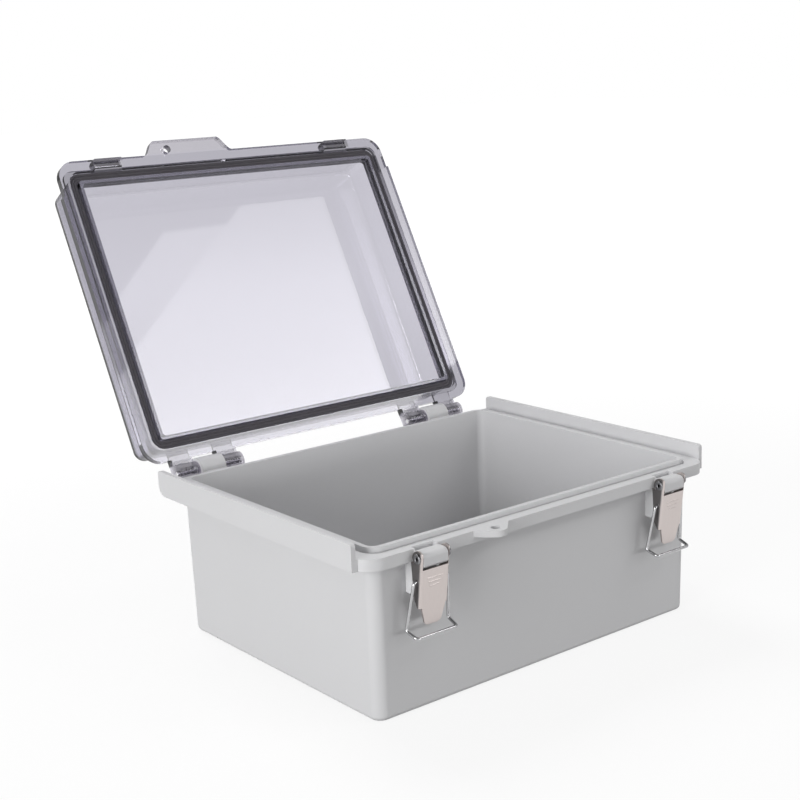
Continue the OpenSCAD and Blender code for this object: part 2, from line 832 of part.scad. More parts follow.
// Wire bail: ends turned in through the ears, splayed legs and a hooked end.
module latch_bail(side) {
    r = wire_d / 2;
    turn_in = ear_x - sheet_t - bail_end;
    knee_y = bail_y + bail_lean;
    knee_z = bail_z - bail_leg;
    bar_y = bail_y + bar_dy;
    bar_z = bail_z + bar_dz;
    bar_half = leg_x + bail_splay - hook_taper;
    color("#dcdedf")
    translate([side * latch_x, 0, 0])
        wire([
            [-turn_in, bail_y, bail_z], [-leg_x, bail_y, bail_z],
            [-leg_x - bail_splay, knee_y, knee_z], [-bar_half, bar_y, bar_z],
            [bar_half, bar_y, bar_z], [leg_x + bail_splay, knee_y, knee_z],
            [leg_x, bail_y, bail_z], [turn_in, bail_y, bail_z]
        ], r, wire_bend);
}

// ---- Inserts, rail and screws ----

module insert() {
    color("#c8a24a")
    difference() {
        translate([0, 0, post_z - insert_len]) cylinder(d = insert_d, h = insert_len);
        translate([0, 0, post_z - insert_len - over])
            cylinder(d = insert_bore, h = insert_len + 2 * over);
        translate([0, 0, post_z - insert_len / 2])
            difference() {
                cylinder(d = insert_d + over, h = insert_groove, center = true);
                cylinder(d = insert_d - 2 * insert_groove_depth,
                    h = insert_groove + over, center = true);
            }
    }
}

module plate_insert(x_side, y_side) {
    translate([x_side * post_x, y_side * post_y, 0]) insert();
}

module rail_insert(side) {
    translate([side * rail_post_x, 0, 0]) insert();
}

module rail_outline() {
    half = rail_w / 2;
    web = half - rail_brim;
    polygon([
        [-web, 0], [web, 0], [web, rail_h - rail_t], [half, rail_h - rail_t],
        [half, rail_h], [web - rail_t, rail_h], [web - rail_t, rail_t],
        [-web + rail_t, rail_t], [-web + rail_t, rail_h], [-half, rail_h],
        [-half, rail_h - rail_t], [-web, rail_h - rail_t]
    ]);
}

module din_rail() {
    straight = slot_len - slot_w;
    color("#b5b8bb")
    translate([0, 0, post_z])
        difference() {
            across(rail_len) rail_outline();
            for (i = [0:slot_count - 1])
                translate([(i - (slot_count - 1) / 2) * slot_pitch, 0, -over]) {
                    for (x = [-1, 1])
                        translate([x * straight / 2, 0, 0])
                            cylinder(d = slot_w, h = rail_t + 2 * over);
                    translate([-straight / 2, -slot_w / 2, 0])
                        cube([straight, slot_w, rail_t + 2 * over]);
                }
        }
}

module rail_screw(side) {
    seat = post_z + rail_t;
    shank = insert_bore - 2 * turn_gap;
    color("#d0d2d4")
    translate([side * rail_post_x, 0, 0])
        difference() {
            union() {
                translate([0, 0, seat]) cylinder(d = screw_head_d, h = screw_head_h);
                translate([0, 0, post_z - insert_len + screw_short])
                    cylinder(d = shank, h = insert_len - screw_short + rail_t + screw_head_h / 2);
            }
            for (turn = [0, 90])
                translate([0, 0, seat + screw_head_h])
                    rotate([0, 0, turn]) cube([cross_len, cross_w, 2 * cross_depth], center = true);
        }
}

base_shell();
lid_cover();
lid_gasket();
hinge_pin(-1);  // hinge_pin_left
hinge_pin(1);  // hinge_pin_right
latch_lever(-1);  // latch_lever_left
latch_lever(1);  // latch_lever_right
latch_bail(-1);  // latch_bail_left
latch_bail(1);  // latch_bail_right
latch_rivet(-1);  // latch_rivet_left
latch_rivet(1);  // latch_rivet_right
plate_insert(-1, -1);  // plate_insert_front_left
plate_insert(1, -1);  // plate_insert_front_right
plate_insert(-1, 1);  // plate_insert_rear_left
plate_insert(1, 1);  // plate_insert_rear_right
rail_insert(-1);  // rail_insert_left
rail_insert(1);  // rail_insert_right
din_rail();
rail_screw(-1);  // rail_screw_left
rail_screw(1);  // rail_screw_right
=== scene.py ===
# %% [markdown]
# # A hinged box with a clear lid
#
# This lesson dresses a moulded electrical box: a light grey body, a clear domed lid
# that stands open on two hinges, a dark gasket in the lid, two folded steel latches
# with wire bails, and a slotted rail on posts inside. The solids come packed from
# the workshop model, so every piece here goes where the frame says.

import json
import math

import bmesh
import bpy
import numpy as np
from mathutils import Euler, Matrix, Vector


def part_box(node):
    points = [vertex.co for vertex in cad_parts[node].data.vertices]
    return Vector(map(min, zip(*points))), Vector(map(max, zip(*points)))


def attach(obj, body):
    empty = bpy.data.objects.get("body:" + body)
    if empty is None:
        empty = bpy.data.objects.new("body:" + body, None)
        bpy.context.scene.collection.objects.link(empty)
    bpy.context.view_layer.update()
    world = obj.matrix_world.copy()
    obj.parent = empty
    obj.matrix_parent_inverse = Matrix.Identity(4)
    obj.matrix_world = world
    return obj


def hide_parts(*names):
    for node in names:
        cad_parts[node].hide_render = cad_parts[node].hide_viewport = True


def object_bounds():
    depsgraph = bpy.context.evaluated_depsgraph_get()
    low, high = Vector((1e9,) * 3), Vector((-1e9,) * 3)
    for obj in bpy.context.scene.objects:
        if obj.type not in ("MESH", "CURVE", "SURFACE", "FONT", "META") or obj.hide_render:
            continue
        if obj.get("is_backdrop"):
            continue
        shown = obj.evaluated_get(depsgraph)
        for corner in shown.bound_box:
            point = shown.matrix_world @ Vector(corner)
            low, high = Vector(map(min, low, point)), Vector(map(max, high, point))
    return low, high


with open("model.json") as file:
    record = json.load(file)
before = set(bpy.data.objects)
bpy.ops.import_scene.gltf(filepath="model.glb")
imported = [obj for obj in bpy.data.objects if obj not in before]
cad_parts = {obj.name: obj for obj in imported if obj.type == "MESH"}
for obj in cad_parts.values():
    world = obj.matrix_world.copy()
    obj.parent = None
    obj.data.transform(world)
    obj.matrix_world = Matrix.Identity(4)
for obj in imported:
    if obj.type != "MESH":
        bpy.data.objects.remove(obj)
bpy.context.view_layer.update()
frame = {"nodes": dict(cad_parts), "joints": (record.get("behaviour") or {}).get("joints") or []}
MM = 0.001
print("frame nodes:", len(frame["nodes"]))

# %% [markdown]
# ## Where things are
#
# The lid is stored open. Its shapes are far easier to write down shut, when its rim
# is level, so they are worked out shut and then swung about the hinge axis. The
# axis and the angle are read from the lid's own joint.

# %% Places read from the frame
JOINTS = {joint["name"]: joint for joint in frame["joints"]}
HINGE_Y, HINGE_Z = JOINTS["lid_hinge"]["pos_m"][1:]
OPEN_ANGLE = math.radians(JOINTS["lid_hinge"]["range_deg"][1])
SIDES = ("left", "right")


def node_points(node):
    """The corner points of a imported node, as rows of x, y and z."""
    mesh = frame["nodes"][node].data
    co = np.empty(len(mesh.vertices) * 3)
    mesh.vertices.foreach_get("co", co)
    return co.reshape(-1, 3)


def swing(points, angle):
    """Turns points about the hinge axis: x stays, y and z go round by angle."""
    y = points[..., 1] - HINGE_Y
    z = points[..., 2] - HINGE_Z
    turned_y = y * math.cos(angle) - z * math.sin(angle)
    turned_z = y * math.sin(angle) + z * math.cos(angle)
    return np.stack([points[..., 0], HINGE_Y + turned_y, HINGE_Z + turned_z], axis=-1)


def node_box(node, angle=0.0):
    """Lowest and highest corner of a node, after it is swung by angle."""
    points = swing(node_points(node), angle)
    return points.min(axis=0), points.max(axis=0)


print("hinge axis in mm: y", round(HINGE_Y / MM, 1), "and z", round(HINGE_Z / MM, 1))

# %% [markdown]
# ## Two ways to a mesh
#
# Round and swept pieces are surfaces: a grid of points worked out as whole arrays,
# joined into four-sided faces. The two mouldings have too many ribs, ears and holes
# for one formula, so they start as a copy of the solid, with its loose triangles
# merged back into flat faces and every hard edge rounded by a Bevel modifier.


# %% Helpers for meshes
WELD = 1e-7
NODE_WELD = 2e-6
FLAT_ANGLE = math.radians(0.3)


def add_piece(name, mesh, body, slot, material, *stands_for):
    """Puts a mesh into the scene as a finished piece that rides on a body."""
    piece = bpy.data.objects.new(name, mesh)
    bpy.context.scene.collection.objects.link(piece)
    mesh.materials.clear()
    mesh.materials.append(material)
    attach(piece, body)
    if stands_for:
        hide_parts(*stands_for)
    print(name, "faces:", len(mesh.polygons))
    return piece


def grid_mesh(name, points, wrap_rows=False, wrap_columns=True):
    """Joins a grid of points into faces, closes its poles and turns it outwards."""
    rows, columns = points.shape[:2]
    index = np.arange(rows * columns).reshape(rows, columns)
    if wrap_rows:
        index = np.vstack([index, index[:1]])
    if wrap_columns:
        index = np.hstack([index, index[:, :1]])
    corners = [index[:-1, :-1], index[1:, :-1], index[1:, 1:], index[:-1, 1:]]
    quads = np.stack(corners, axis=-1).reshape(-1, 4)
    mesh = bpy.data.meshes.new(name)
    mesh.from_pydata(points.reshape(-1, 3).tolist(), [], quads.tolist())
    tidy = bmesh.new()
    tidy.from_mesh(mesh)
    bmesh.ops.remove_doubles(tidy, verts=tidy.verts, dist=WELD)
    bmesh.ops.recalc_face_normals(tidy, faces=tidy.faces)
    tidy.to_mesh(mesh)
    tidy.free()
    mesh.polygons.foreach_set("use_smooth", np.ones(len(mesh.polygons), bool))
    return mesh


def merged_copy(node, name):
    """A copy of a node's mesh with its triangles joined back into flat faces."""
    mesh = frame["nodes"][node].data.copy()
    mesh.name = name
    if "custom_normal" in mesh.attributes:
        mesh.attributes.remove(mesh.attributes["custom_normal"])
    tidy = bmesh.new()
    tidy.from_mesh(mesh)
    bmesh.ops.remove_doubles(tidy, verts=tidy.verts, dist=NODE_WELD)
    bmesh.ops.dissolve_limit(
        tidy, angle_limit=FLAT_ANGLE, verts=tidy.verts, edges=tidy.edges
    )
    tidy.to_mesh(mesh)
    tidy.free()
    mesh.polygons.foreach_set("use_smooth", np.ones(len(mesh.polygons), bool))
    return mesh


def round_edges(piece, width, sharp_angle=25, steps=3):
    """Rounds every edge sharper than sharp_angle degrees to a radius of width."""
    bevel = piece.modifiers.new("round edges", "BEVEL")
    bevel.width = width
    bevel.segments = steps
    bevel.limit_method = "ANGLE"
    bevel.angle_limit = math.radians(sharp_angle)
    bevel.harden_normals = True
    shading = piece.modifiers.new("even shading", "WEIGHTED_NORMAL")
    shading.keep_sharp = True


print("points closer than", NODE_WELD / MM, "mm are welded in copies of solids")

# %% [markdown]
# ## Finishes
#
# Each finish is a small node tree. A fine noise on Object coordinates gives the
# moulded grain or the brushed streaks through a Bump node. On plastic and rubber a
# second, larger noise lets the colour drift a little, as on real parts. Pictures
# wrapped round a piece could do it too, but they stretch at folds and corners, while
# noise in space needs no unwrapping.


# %% Helpers for finishes
NOISE_LOW, NOISE_HIGH = 0.3, 0.7


def new_finish(name):
    """A material with a Principled shader. Returns the material, its tree and shader."""
    material = bpy.data.materials.new(name)
    material.use_nodes = True
    tree = material.node_tree
    return material, tree, tree.nodes["Principled BSDF"]


def noise(tree, scale, stretch=(1, 1, 1), detail=3.0):
    """Noise in the piece's own coordinates: the smaller its stretch number along an
    axis, the longer its streaks run that way."""
    place = tree.nodes.new("ShaderNodeTexCoord")
    mapping = tree.nodes.new("ShaderNodeMapping")
    mapping.inputs["Scale"].default_value = stretch
    texture = tree.nodes.new("ShaderNodeTexNoise")
    texture.inputs["Scale"].default_value = scale
    texture.inputs["Detail"].default_value = detail
    tree.links.new(place.outputs["Object"], mapping.inputs["Vector"])
    tree.links.new(mapping.outputs["Vector"], texture.inputs["Vector"])
    return texture.outputs["Fac"]


def bump(tree, shader, height, distance, strength=1.0):
    """Feeds a height into the shader's normal."""
    node = tree.nodes.new("ShaderNodeBump")
    node.inputs["Strength"].default_value = strength
    node.inputs["Distance"].default_value = distance
    tree.links.new(height, node.inputs["Height"])
    tree.links.new(node.outputs["Normal"], shader.inputs["Normal"])


def calc(tree, operation, first, second=0.0):
    """One step of arithmetic on two numbers, or on sockets that carry numbers."""
    node = tree.nodes.new("ShaderNodeMath")
    node.operation = operation
    for socket, value in zip(node.inputs, (first, second)):
        if isinstance(value, (int, float)):
            socket.default_value = value
        else:
            tree.links.new(value, socket)
    return node.outputs[0]


def object_axes(tree):
    """The piece's own x, y and z, as three sockets."""
    place = tree.nodes.new("ShaderNodeTexCoord")
    split = tree.nodes.new("ShaderNodeSeparateXYZ")
    tree.links.new(place.outputs["Object"], split.inputs["Vector"])
    return split.outputs["X"], split.outputs["Y"], split.outputs["Z"]


def ramp(tree, value, start, end, kind="LINEAR"):
    """Carries value from the range start to the range end, and holds it at the ends.

    SMOOTHSTEP as kind eases in and out: three times its square less two times its cube.
    """
    node = tree.nodes.new("ShaderNodeMapRange")
    node.interpolation_type = kind
    node.inputs["From Min"].default_value, node.inputs["From Max"].default_value = start
    node.inputs["To Min"].default_value, node.inputs["To Max"].default_value = end
    tree.links.new(value, node.inputs["Value"])
    return node.outputs["Result"]


def spread(tree, value, low, high):
    """Maps the middle of a noise onto the range from low to high."""
    return ramp(tree, value, (NOISE_LOW, NOISE_HIGH), (low, high))


def two_tones(tree, value, dark, light):
    """The colour dark where value is 0, light where it is 1, and a mix between.

    Each colour is three numbers, or a socket that carries a colour.
    """
    node = tree.nodes.new("ShaderNodeMix")
    node.data_type = "RGBA"
    for socket, colour in ((node.inputs["A"], dark), (node.inputs["B"], light)):
        if isinstance(colour, tuple):
            socket.default_value = (*colour, 1)
        else:
            tree.links.new(colour, socket)
    tree.links.new(value, node.inputs["Factor"])
    return node.outputs["Result"]


print("noise is read from", NOISE_LOW, "to", NOISE_HIGH)


# %% [markdown]
# The body is light grey polycarbonate with a fine spark-eroded grain: matt, but with
# a soft sheen. The grain is well under a millimetre across and a few hundredths deep.
# Its sheen could be one number, but a mould wears unevenly, so the roughness wanders.


# %% Body plastic
TONE_SCALE = 14
SHEEN_SCALE = 900
GRAIN_SCALE = 2600
GRAIN_DEPTH = 0.03 * MM


def body_plastic():
    """Light grey moulded plastic with a fine grain."""
    material, tree, shader = new_finish("body_plastic")
    drift = noise(tree, TONE_SCALE)
    tone = two_tones(tree, drift, (0.59, 0.59, 0.60), (0.62, 0.62, 0.63))
    tree.links.new(tone, shader.inputs["Base Color"])
    sheen = spread(tree, noise(tree, SHEEN_SCALE), 0.42, 0.54)
    tree.links.new(sheen, shader.inputs["Roughness"])
    shader.inputs["Specular IOR Level"].default_value = 0.45
    bump(tree, shader, noise(tree, GRAIN_SCALE, detail=2.0), GRAIN_DEPTH)
    return material


BODY_PLASTIC = body_plastic()
print("made", BODY_PLASTIC.name)


# %% [markdown]
# ### Where light and shade are painted on the lid
#
# A clear moulding isn't even to the eye. Its edges look dark, because light that has
# run a long way inside the sheet comes out there, and the pull tab, the catches and the
# knuckles look lighter. Both are painted on: a dark tint is painted shade on the edges,
# and a pale tint with a share of the Transparent shader is painted light on the spots.
# Painted masks could mark both, but the places are simple: a distance from the hinge
# axis, a distance from the middle, and whether a face lies along the sheet.

# %% Places on the lid
LATCH_X = JOINTS["latch_lever_right"]["pos_m"][0]
# A catch's half width, then distances from the middle of the box along the hinge.
CATCH_HALF = 8.5 * MM
RIM_SIDE = 108.6 * MM
LIP_SIDE = 97.4 * MM
# Distances from the hinge axis. LIP_RUN counts from LIP_MIDDLE, both ways, and
# CATCH_DEPTH counts back from TAB_START.
KNUCKLE_REACH = 7 * MM
LIP_MIDDLE = 94.1 * MM
LIP_RUN = 73.4 * MM
RIM_FRONT = 178.6 * MM
TAB_START = 180.8 * MM
CATCH_DEPTH = 5.5 * MM
# Half the width of the lip's band, and the least dot product of a flat face.
LIP_HALF = 1.5 * MM
ALONG_SHEET = 0.8


def flat_faces(tree):
    """1 on faces that lie along the lid's sheet, and 0 on its edges.

    The dot product of the face's direction and the lid's own up is near 1 or -1 there.
    """
    place = tree.nodes.new("ShaderNodeTexCoord")
    dot = tree.nodes.new("ShaderNodeVectorMath")
    dot.operation = "DOT_PRODUCT"
    dot.inputs[1].default_value = (0, math.sin(OPEN_ANGLE), math.cos(OPEN_ANGLE))
    tree.links.new(place.outputs["Normal"], dot.inputs[0])
    along = calc(tree, "ABSOLUTE", dot.outputs["Value"])
    return calc(tree, "GREATER_THAN", along, ALONG_SHEET)


def from_hinge(tree):
    """How far a point is from the middle along the hinge, and from the hinge axis.

    The second is the square root of y squared plus z squared, both counted from the
    axis. It is the same for every angle of the lid.
    """
    x, y, z = object_axes(tree)
    y = calc(tree, "SUBTRACT", y, HINGE_Y)
    z = calc(tree, "SUBTRACT", z, HINGE_Z)
    squares = calc(tree, "ADD", calc(tree, "MULTIPLY", y, y), calc(tree, "MULTIPLY", z, z))
    return calc(tree, "ABSOLUTE", x), calc(tree, "SQRT", squares)


def within(tree, value, middle, half):
    """1 where value is less than half away from middle, and 0 elsewhere."""
    away = calc(tree, "ABSOLUTE", calc(tree, "SUBTRACT", value, middle))
    return calc(tree, "LESS_THAN", away, half)


print("latches stand", round(LATCH_X / MM, 1), "mm from the middle")


# %% Painted shade on the edges and painted light on the spots
def lip_places(tree, along, reach):
    """1 on a band that follows the gasket's inner lip: two sides, a front and a rear."""
    sides = calc(tree, "MULTIPLY", within(tree, along, LIP_SIDE, LIP_HALF),
                 within(tree, reach, LIP_MIDDLE, LIP_RUN))
    front = within(tree, reach, LIP_MIDDLE + LIP_RUN, LIP_HALF)
    rear = within(tree, reach, LIP_MIDDLE - LIP_RUN, LIP_HALF)
    ends = calc(tree, "MULTIPLY", calc(tree, "MAXIMUM", front, rear),
                calc(tree, "LESS_THAN", along, LIP_SIDE))
    return calc(tree, "MAXIMUM", sides, ends)


def painted_edge_shade(tree):
    """Where shade is painted: 1 on the edge faces of the rim's sides and front, the tab, the
    catches and the lip.
    """
    along, reach = from_hinge(tree)
    side = calc(tree, "GREATER_THAN", along, RIM_SIDE)
    front = calc(tree, "GREATER_THAN", reach, RIM_FRONT)
    rim = calc(tree, "MAXIMUM", side, front)
    edges = calc(tree, "MAXIMUM", rim, lip_places(tree, along, reach))
    return calc(tree, "MULTIPLY", edges, calc(tree, "SUBTRACT", 1, flat_faces(tree)))


def painted_light_spots(tree):
    """Where light is painted: 1 on the flats of the pull tab and catches and all over the
    knuckles.

    On the catches the tab's start is moved back by CATCH_DEPTH.
    """
    along, reach = from_hinge(tree)
    on_catch = within(tree, along, LATCH_X, CATCH_HALF)
    catch_reach = calc(tree, "ADD", reach, calc(tree, "MULTIPLY", on_catch, CATCH_DEPTH))
    far = calc(tree, "GREATER_THAN", catch_reach, TAB_START)
    far = calc(tree, "MULTIPLY", far, flat_faces(tree))
    near = calc(tree, "LESS_THAN", reach, KNUCKLE_REACH)
    return calc(tree, "MAXIMUM", far, near)


print("tab starts", round(TAB_START / MM, 1), "mm from the hinge axis")

# %% [markdown]
# ### Clear plastic
#
# The lid is clear polycarbonate with a faint lavender cast. Most of the cast is in the
# Base Color, which tints light as it crosses a face. The rest is Volume Absorption
# inside real walls: light that runs along the sheet passes more plastic and comes out
# darker. Lamps would see the glass as solid, so their rays get a Transparent shader,
# and the spots with painted light get a share of it for every ray.


# %% Clear plastic
CLEAR_TINT = (0.80, 0.785, 0.87)
# Painted light: the paler tint of the tab, the catches and the knuckles.
PAINTED_LIGHT_TINT = (0.96, 0.945, 1.0)
# Painted shade: the dark tint of the lid's edge faces.
EDGE_SHADE_TINT = (0.16, 0.155, 0.18)
STRAIGHT_TINT = (0.97, 0.955, 1.0)
# Painted light: the share of see-through on the tab, the catches and the knuckles.
STRAIGHT_SHARE = 0.45
INNER_COLOUR = (0.32, 0.315, 0.33)
INNER_DENSITY = 190


def let_through(tree, shader, spots):
    """Mixes a Transparent shader in: all of it for lamps, a share of it as painted light on the
    spots.
    """
    path = tree.nodes.new("ShaderNodeLightPath")
    share = calc(tree, "MULTIPLY", spots, STRAIGHT_SHARE)
    share = calc(tree, "MAXIMUM", share, path.outputs["Is Shadow Ray"])
    straight = tree.nodes.new("ShaderNodeBsdfTransparent")
    straight.inputs["Color"].default_value = (*STRAIGHT_TINT, 1)
    mix = tree.nodes.new("ShaderNodeMixShader")
    tree.links.new(share, mix.inputs[0])
    tree.links.new(shader.outputs["BSDF"], mix.inputs[1])
    tree.links.new(straight.outputs["BSDF"], mix.inputs[2])
    tree.links.new(mix.outputs["Shader"], tree.nodes["Material Output"].inputs["Surface"])


def clear_plastic():
    """Clear tinted polycarbonate with absorption inside its walls, painted shade on its edges
    and painted light on its spots.
    """
    material, tree, shader = new_finish("clear_plastic")
    spots = painted_light_spots(tree)
    # Painted light: the tab, catches and knuckles get a paler tint, so they look lit.
    tint = two_tones(tree, spots, CLEAR_TINT, PAINTED_LIGHT_TINT)
    # Painted shade: the edge faces get a dark tint for the shade that light run along the sheet
    # gives.
    tint = two_tones(tree, painted_edge_shade(tree), tint, EDGE_SHADE_TINT)
    tree.links.new(tint, shader.inputs["Base Color"])
    shader.inputs["Roughness"].default_value = 0.03
    shader.inputs["IOR"].default_value = 1.5
    shader.inputs["Transmission Weight"].default_value = 1.0
    let_through(tree, shader, spots)
    inside = tree.nodes.new("ShaderNodeVolumeAbsorption")
    inside.inputs["Color"].default_value = (*INNER_COLOUR, 1)
    inside.inputs["Density"].default_value = INNER_DENSITY
    output = tree.nodes["Material Output"]
    tree.links.new(inside.outputs["Volume"], output.inputs["Volume"])
    return material


CLEAR_PLASTIC = clear_plastic()
print("made", CLEAR_PLASTIC.name)

# %% [markdown]
# Gasket rubber is poured as a foam, so it is dark grey and matt, with a faintly pitted
# skin. A Bump node is enough for pits this small.


# %% Gasket rubber
CLOUD_SCALE = 60
PIT_SCALE = 1800
PIT_DEPTH = 0.06 * MM


def gasket_rubber():
    """Dark grey foam rubber with a pitted skin."""
    material, tree, shader = new_finish("gasket_rubber")
    clouds = noise(tree, CLOUD_SCALE)
    tone = two_tones(tree, clouds, (0.060, 0.055, 0.064), (0.085, 0.080, 0.092))
    tree.links.new(tone, shader.inputs["Base Color"])
    shader.inputs["Roughness"].default_value = 0.62
    bump(tree, shader, noise(tree, PIT_SCALE), PIT_DEPTH)
    return material


GASKET_RUBBER = gasket_rubber()
print("made", GASKET_RUBBER.name)


# %% [markdown]
# Metals differ by how they were finished. The levers are stainless sheet with a
# satin grain that runs up and down; the wire is drawn bright; the rail and screws
# are zinc plated; the inserts are turned brass. One function serves them all, because
# only the colours, the stretch of the grain and the roughness change. A second
# function darkens the levers' ears by place: painted shade on their sides.


# %% Metals
def metal(name, dark, light, roughness, stretch=(1, 1, 1), scale=400, depth=0.01):
    """A metal whose grain is noise, stretched along the way it was worked."""
    material, tree, shader = new_finish(name)
    shader.inputs["Metallic"].default_value = 1.0
    grain = noise(tree, scale, stretch)
    tree.links.new(two_tones(tree, grain, dark, light), shader.inputs["Base Color"])
    low, high = roughness
    tree.links.new(spread(tree, grain, low, high), shader.inputs["Roughness"])
    bump(tree, shader, grain, depth * MM)
    return material


SATIN_STEEL = metal(
    "satin_steel", (0.54, 0.485, 0.47), (0.62, 0.565, 0.545), (0.30, 0.44), (6, 6, 0.4)
)
RIVET_STEEL = metal("rivet_steel", (0.20, 0.20, 0.21), (0.30, 0.30, 0.31), (0.25, 0.35))
BRIGHT_WIRE = metal("bright_wire", (0.42, 0.42, 0.43), (0.52, 0.52, 0.53), (0.12, 0.20))
PIN_STEEL = metal("pin_steel", (0.62, 0.62, 0.63), (0.70, 0.70, 0.71), (0.22, 0.32))
ZINC = metal("zinc_plate", (0.60, 0.62, 0.64), (0.70, 0.71, 0.73), (0.28, 0.42), scale=120)
BRASS = metal("turned_brass", (0.62, 0.44, 0.17), (0.74, 0.54, 0.22), (0.25, 0.36))
print("finishes so far:", len(bpy.data.materials))


# %% Painted shade on the ears
EAR_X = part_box("latch_lever_right")[1].x - LATCH_X
# Painted shade: the dark colour put on the ears' sides.
EAR_SHADE = (0.20, 0.19, 0.19)
FOLD_START, FOLD_END = 0.35 * MM, 0.05 * MM


def paint_ear_shade(material, centre, half):
    """Paints shade on the sheet where x, without its sign, is about half away from centre."""
    tree = material.node_tree
    base = tree.nodes["Principled BSDF"].inputs["Base Color"]
    x = calc(tree, "ABSOLUTE", object_axes(tree)[0])
    away = calc(tree, "ABSOLUTE", calc(tree, "SUBTRACT", x, centre))
    ear_shade_mask = ramp(tree, away, (half - FOLD_START, half - FOLD_END), (0, 1))
    tree.links.new(two_tones(tree, ear_shade_mask, base.links[0].from_socket, EAR_SHADE), base)


paint_ear_shade(SATIN_STEEL, LATCH_X, EAR_X)
print("ears stand", round(EAR_X / MM, 2), "mm from the middle of each lever")

# %% [markdown]
# ## The two mouldings
#
# Body and lid keep the shape of their solids. What a mould adds is a small radius on
# every edge, which catches the light, so that is all that is put on here. A Bevel
# modifier does it, because it finds the edges by their angle.

# %% Body and lid
MOULD_RADIUS = 0.45 * MM
body = add_piece(
    "body_moulding", merged_copy("base_shell", "body_moulding"),
    "base", "base_plastic", BODY_PLASTIC, "base_shell",
)
round_edges(body, MOULD_RADIUS)
lid = add_piece(
    "clear_lid", merged_copy("lid_cover", "clear_lid"),
    "lid", "lid_plastic", CLEAR_PLASTIC, "lid_cover",
)
round_edges(lid, MOULD_RADIUS)

# %% [markdown]
# ## The gasket
#
# A poured gasket is a bead in a channel, with three ribs along its open face. It could
# be a curve with a bevel, but a section carried round the channel as a grid keeps the
# ribs: one direction goes round the rim, the other round the section. A rounded
# rectangle moved in or out keeps its corner centres, so each ring is the corner centre
# plus a direction times the radius there.


# %% A ring round a rounded rectangle
def rounded_ring(half_width, half_depth, radius, moved, corner_steps=12):
    """Points round a rounded rectangle: corner centre plus direction times radius.

    moved is a column of distances by which each ring stands outside the first one.
    """
    angle = np.linspace(0, math.pi / 2, corner_steps + 1)
    turn = (np.arange(4)[:, None] * math.pi / 2 + angle).ravel()
    side_x = np.repeat([1, -1, -1, 1], corner_steps + 1) * (half_width - radius)
    side_y = np.repeat([1, 1, -1, -1], corner_steps + 1) * (half_depth - radius)
    reach = radius + np.asarray(moved)[:, None]
    return side_x + reach * np.cos(turn), side_y + reach * np.sin(turn)


print("points in one ring:", rounded_ring(1, 1, 0.1, [0])[0].shape[1])

# %% Gasket bead
BEAD_WIDTH = 5.1 * MM
BEAD_CORNER = 4.2 * MM
FLATNESS = 0.55
GROOVE_AT = 0.8 * MM
GROOVE_WIDTH = 0.28 * MM
GROOVE_DEPTH = 0.8 * MM


def bead_section(half_height, points=96):
    """The section as two columns: across the bead, and up it.

    It is a squared circle: the sine and cosine keep their sign, and a power under 1
    flattens its four sides. Two grooves leave three ribs on the open face: each groove
    is a bell curve across it.
    """
    around = np.linspace(0, 2 * math.pi, points, endpoint=False)
    cosine, sine = np.cos(around), np.sin(around)
    across = np.sign(cosine) * np.abs(cosine) ** FLATNESS * BEAD_WIDTH / 2
    height = np.sign(sine) * np.abs(sine) ** FLATNESS * half_height
    groove = np.exp(-(((np.abs(across) - GROOVE_AT) / GROOVE_WIDTH) ** 2))
    return across, np.where(height < 0, height + GROOVE_DEPTH * groove, height)


def gasket_mesh():
    """The ribbed bead, worked out shut and then swung open with the lid."""
    low, high = node_box("lid_gasket", OPEN_ANGLE)
    middle = (low + high) / 2
    half = (high - low) / 2
    across, height = bead_section(half[2])
    line = half[:2] - BEAD_WIDTH / 2
    x, y = rounded_ring(line[0], line[1], BEAD_CORNER, across)
    z = np.broadcast_to(height[:, None], x.shape)
    shut = np.stack([x + middle[0], y + middle[1], z + middle[2]], axis=-1)
    return grid_mesh("gasket_bead", swing(shut, -OPEN_ANGLE), wrap_rows=True)


add_piece("gasket_bead", gasket_mesh(), "lid", "gasket", GASKET_RUBBER, "lid_gasket")

# %% [markdown]
# ## Turned pieces
#
# Pins and rivets are turned on a lathe: a profile of radius against length is spun
# about an axis. A Screw modifier could spin it, but the whole grid is one line of
# numpy, and it lands in its place at once. The helper rounds nothing, so small radii
# are written into the profile as points on an arc.


# %% Helper for turned pieces
def arc(centre, radius, start, end, steps=6):
    """Points (radius, length) on an arc from start to end degrees."""
    t = np.radians(np.linspace(start, end, steps + 1))
    return np.stack([centre[0] + radius * np.cos(t), centre[1] + radius * np.sin(t)], 1)


def turned(name, profile, centre, axis, sides=48):
    """Spins a profile of (radius, length) rows about a line through centre.

    axis is one of the three unit vectors. A point is the centre, plus its radius times
    a direction that goes round, plus its length along the axis.
    """
    profile = np.asarray(profile, float)
    t = np.linspace(0, 2 * math.pi, sides, endpoint=False)
    along = np.array(axis, float)
    first = np.roll(along, 1)
    second = np.cross(along, first)
    ring = np.cos(t)[:, None] * first + np.sin(t)[:, None] * second
    points = (
        np.asarray(centre)
        + profile[:, None, :1] * ring
        + profile[:, None, 1:] * along
    )
    return grid_mesh(name, points)


print("points on an arc:", len(arc((0, 0), 1, 0, 90)))

